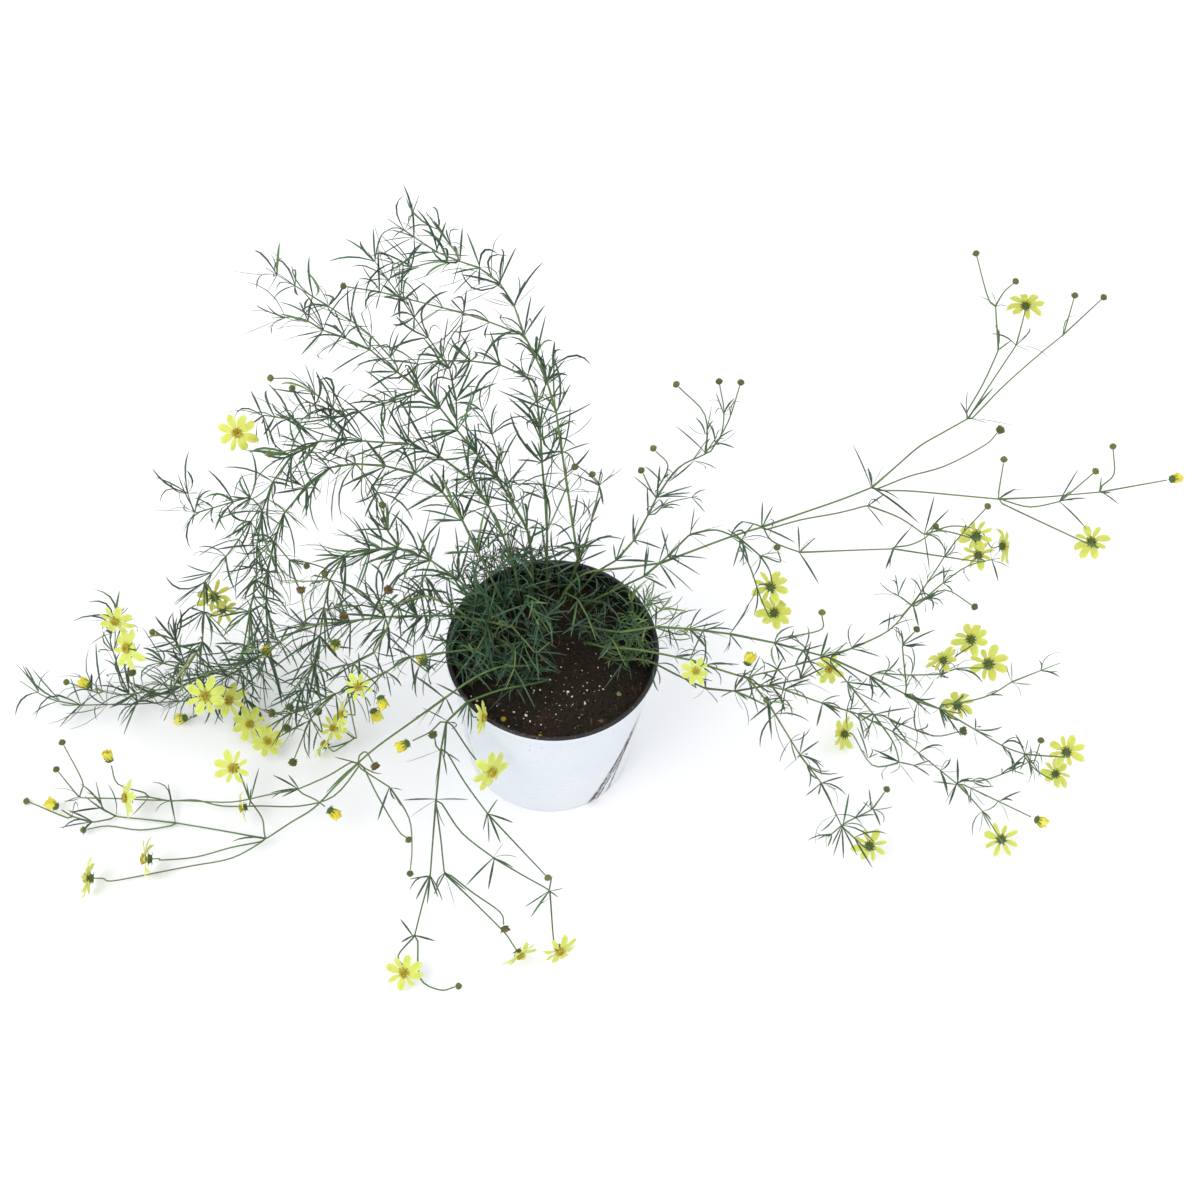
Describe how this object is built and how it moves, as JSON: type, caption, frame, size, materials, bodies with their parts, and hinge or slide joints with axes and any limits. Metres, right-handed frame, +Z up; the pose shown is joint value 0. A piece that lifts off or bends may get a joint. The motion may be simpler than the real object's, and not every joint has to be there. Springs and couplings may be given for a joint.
{
  "type": "potted coreopsis",
  "caption": "Threadleaf coreopsis in its round nursery pot: lax leafy stems that arch out over the rim, with pale yellow daisy-like blooms, buds and spent heads.",
  "frame": {"origin": "middle of the pot's flat foot, on the surface that it stands on", "axes": "+Z up through the pot's mouth, +X along the plant's widest spread, -Y towards the side it is seen from"},
  "size_m": [0.9589, 0.5599, 0.3766],
  "materials": {
    "pot_plastic": "satin, white outside and black inside",
    "peat_soil": "rough, damp peat mix",
    "stem_green": "matte leaf green",
    "petal_yellow": "soft pale yellow petals"
  },
  "bodies": {
    "root": {"bloom_01": "petal_yellow", "bloom_02": "petal_yellow", "bloom_03": "petal_yellow", "bloom_04": "petal_yellow", "bloom_05": "petal_yellow", "bloom_06": "petal_yellow", "bloom_07": "petal_yellow", "bloom_08": "petal_yellow", "bloom_09": "petal_yellow", "bloom_10": "petal_yellow", "bloom_11": "petal_yellow", "bloom_12": "petal_yellow", "bloom_13": "petal_yellow", "bloom_14": "petal_yellow", "bloom_15": "petal_yellow", "bloom_16": "petal_yellow", "bloom_17": "petal_yellow", "bloom_18": "petal_yellow", "bloom_19": "petal_yellow", "bloom_20": "petal_yellow", "bloom_21": "petal_yellow", "bloom_22": "petal_yellow", "bloom_23": "petal_yellow", "bloom_24": "petal_yellow", "bloom_25": "petal_yellow", "bloom_26": "petal_yellow", "bloom_27": "petal_yellow", "bloom_28": "petal_yellow", "bloom_29": "petal_yellow", "bloom_30": "petal_yellow", "bloom_31": "petal_yellow", "bloom_32": "petal_yellow", "bloom_33": "petal_yellow", "bloom_34": "petal_yellow", "bloom_35": "petal_yellow", "bloom_36": "petal_yellow", "bloom_37": "petal_yellow", "bloom_38": "petal_yellow", "bloom_39": "petal_yellow", "bloom_40": "petal_yellow", "bloom_41": "petal_yellow", "pot": "pot_plastic", "soil": "peat_soil", "stem_arch_right": "stem_green", "stem_back_left": "stem_green", "stem_back_right": "stem_green", "stem_back_tall": "stem_green", "stem_front": "stem_green", "stem_left_back": "stem_green", "stem_left_edge": "stem_green", "stem_left_front": "stem_green", "stem_left_low": "stem_green", "stem_left_mass": "stem_green", "stem_left_mid": "stem_green", "stem_left_straight": "stem_green", "stem_left_trailing": "stem_green", "stem_right_front": "stem_green", "stem_right_high": "stem_green", "stem_right_low": "stem_green", "stem_right_mid": "stem_green"}
  },
  "joints": []
}
